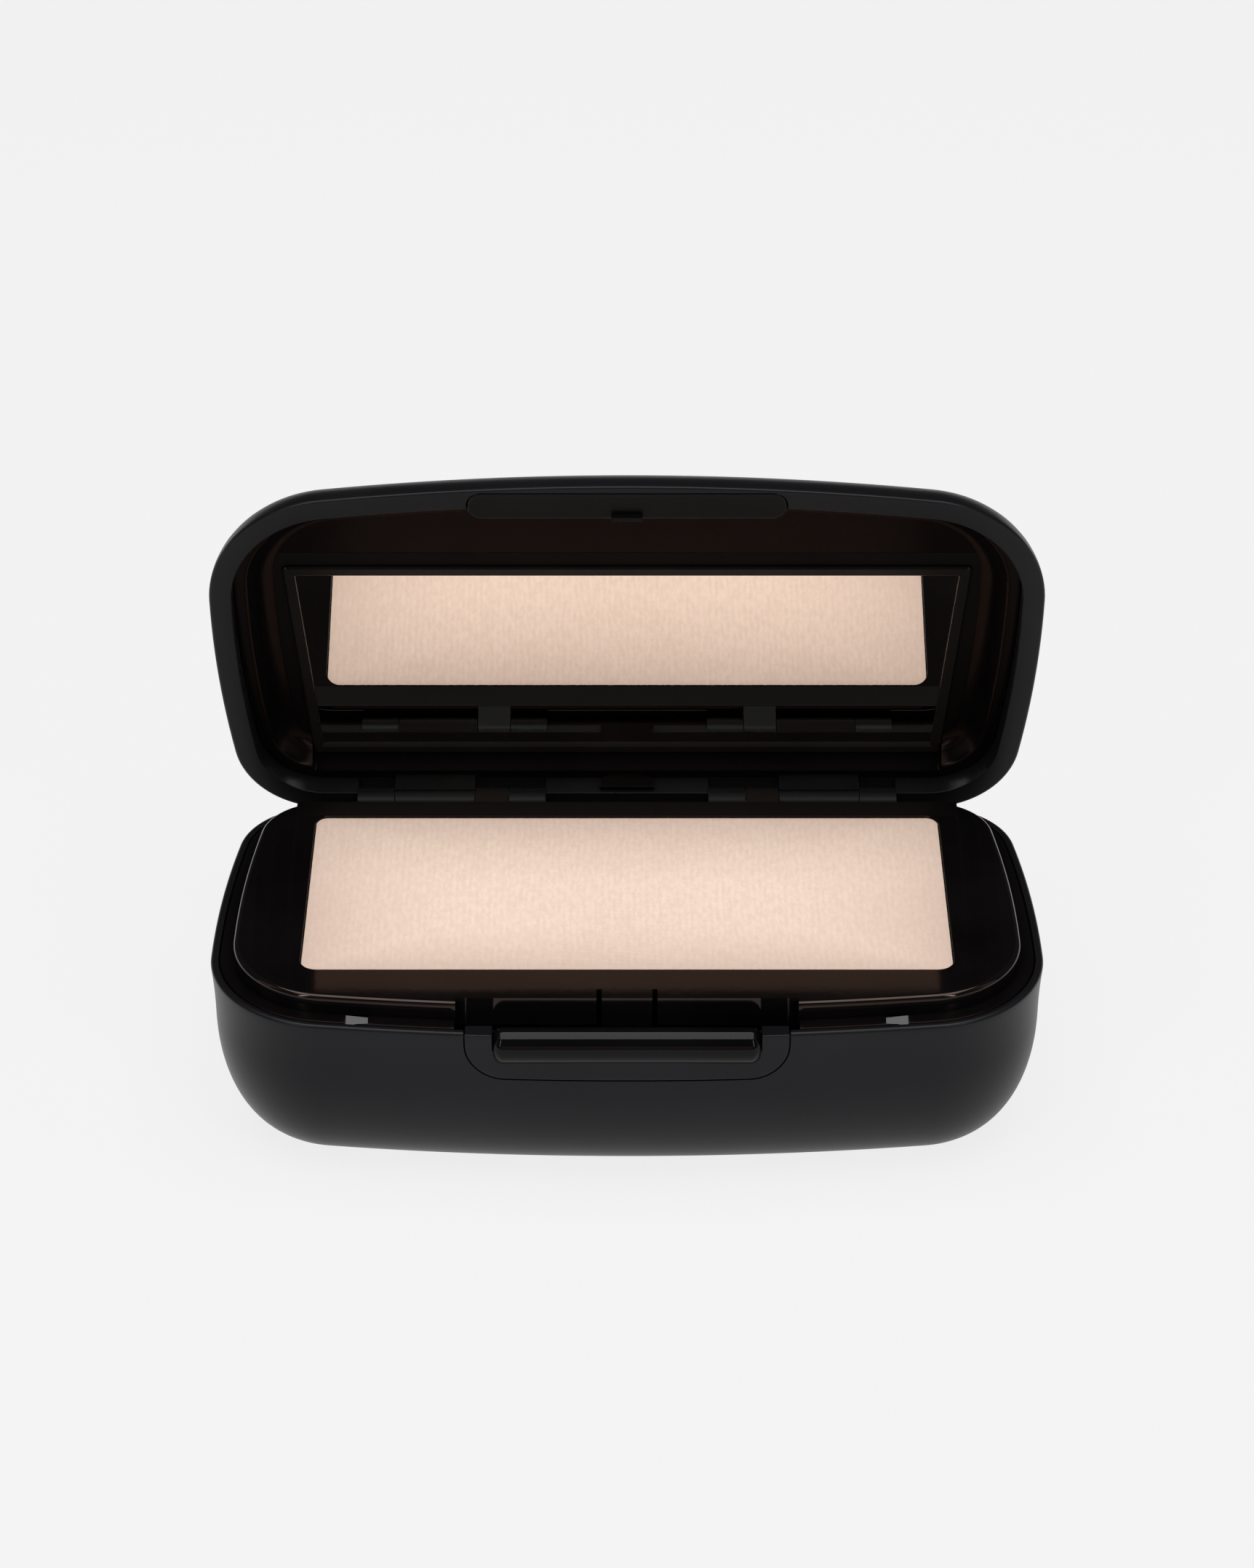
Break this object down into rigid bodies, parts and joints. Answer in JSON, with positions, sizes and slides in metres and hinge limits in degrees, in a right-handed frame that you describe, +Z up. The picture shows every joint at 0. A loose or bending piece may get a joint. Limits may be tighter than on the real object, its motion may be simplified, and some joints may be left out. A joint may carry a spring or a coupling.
{
  "type": "powder compact",
  "caption": "Oblong pressed powder compact with a hinged mirror lid, a hinged powder tray over a puff compartment, and a front push button.",
  "frame": {"origin": "centre of the flat resting face under the base", "axes": "+Z up, -Y towards the button at the front, +X along the case's long side"},
  "size_m": [0.082, 0.049, 0.0594],
  "materials": {
    "satin_black": "satin moulded plastic, black",
    "gloss_black": "high-gloss moulded plastic, black",
    "pan_aluminium": "drawn sheet, bright",
    "pin_steel": "drawn wire",
    "powder": "matt pressed powder with a fine fabric emboss",
    "mirror": "silvered flat glass",
    "puff": "short velour over soft foam",
    "adhesive": "thin adhesive pad"
  },
  "bodies": {
    "base": {"base_shell": "satin_black", "base_liner": "gloss_black", "hinge_pin_left": "pin_steel", "hinge_pin_right": "pin_steel", "puff": "puff"},
    "release_button": {"button_panel": "satin_black", "button_bar": "gloss_black", "button_spring": "pin_steel"},
    "tray": {"powder_tray": "gloss_black", "pan_adhesive": "adhesive", "powder_pan": "pan_aluminium", "pressed_powder": "powder"},
    "lid": {"lid_shell": "satin_black", "lid_liner": "gloss_black", "mirror_frame": "gloss_black", "mirror_glass": "mirror", "mirror_adhesive": "adhesive", "finger_tab": "satin_black"}
  },
  "joints": [
    {"name": "tray_hinge", "type": "hinge", "parent": "base", "child": "tray", "pos_m": [0, 0.02055, 0.0184], "axis": [-1, 0, 0], "range_deg": [0, 30]},
    {"name": "lid_hinge", "type": "hinge", "parent": "tray", "child": "lid", "pos_m": [0, 0.02055, 0.0184], "axis": [-1, 0, 0], "range_deg": [-79, 15]},
    {"name": "button_press", "type": "slide", "parent": "base", "child": "release_button", "axis": [0, 1, 0], "range_m": [0, 0.0007], "stiffness_N_per_m": 1500, "springref_m": -0.0006, "deforming": ["button_spring"]}
  ]
}
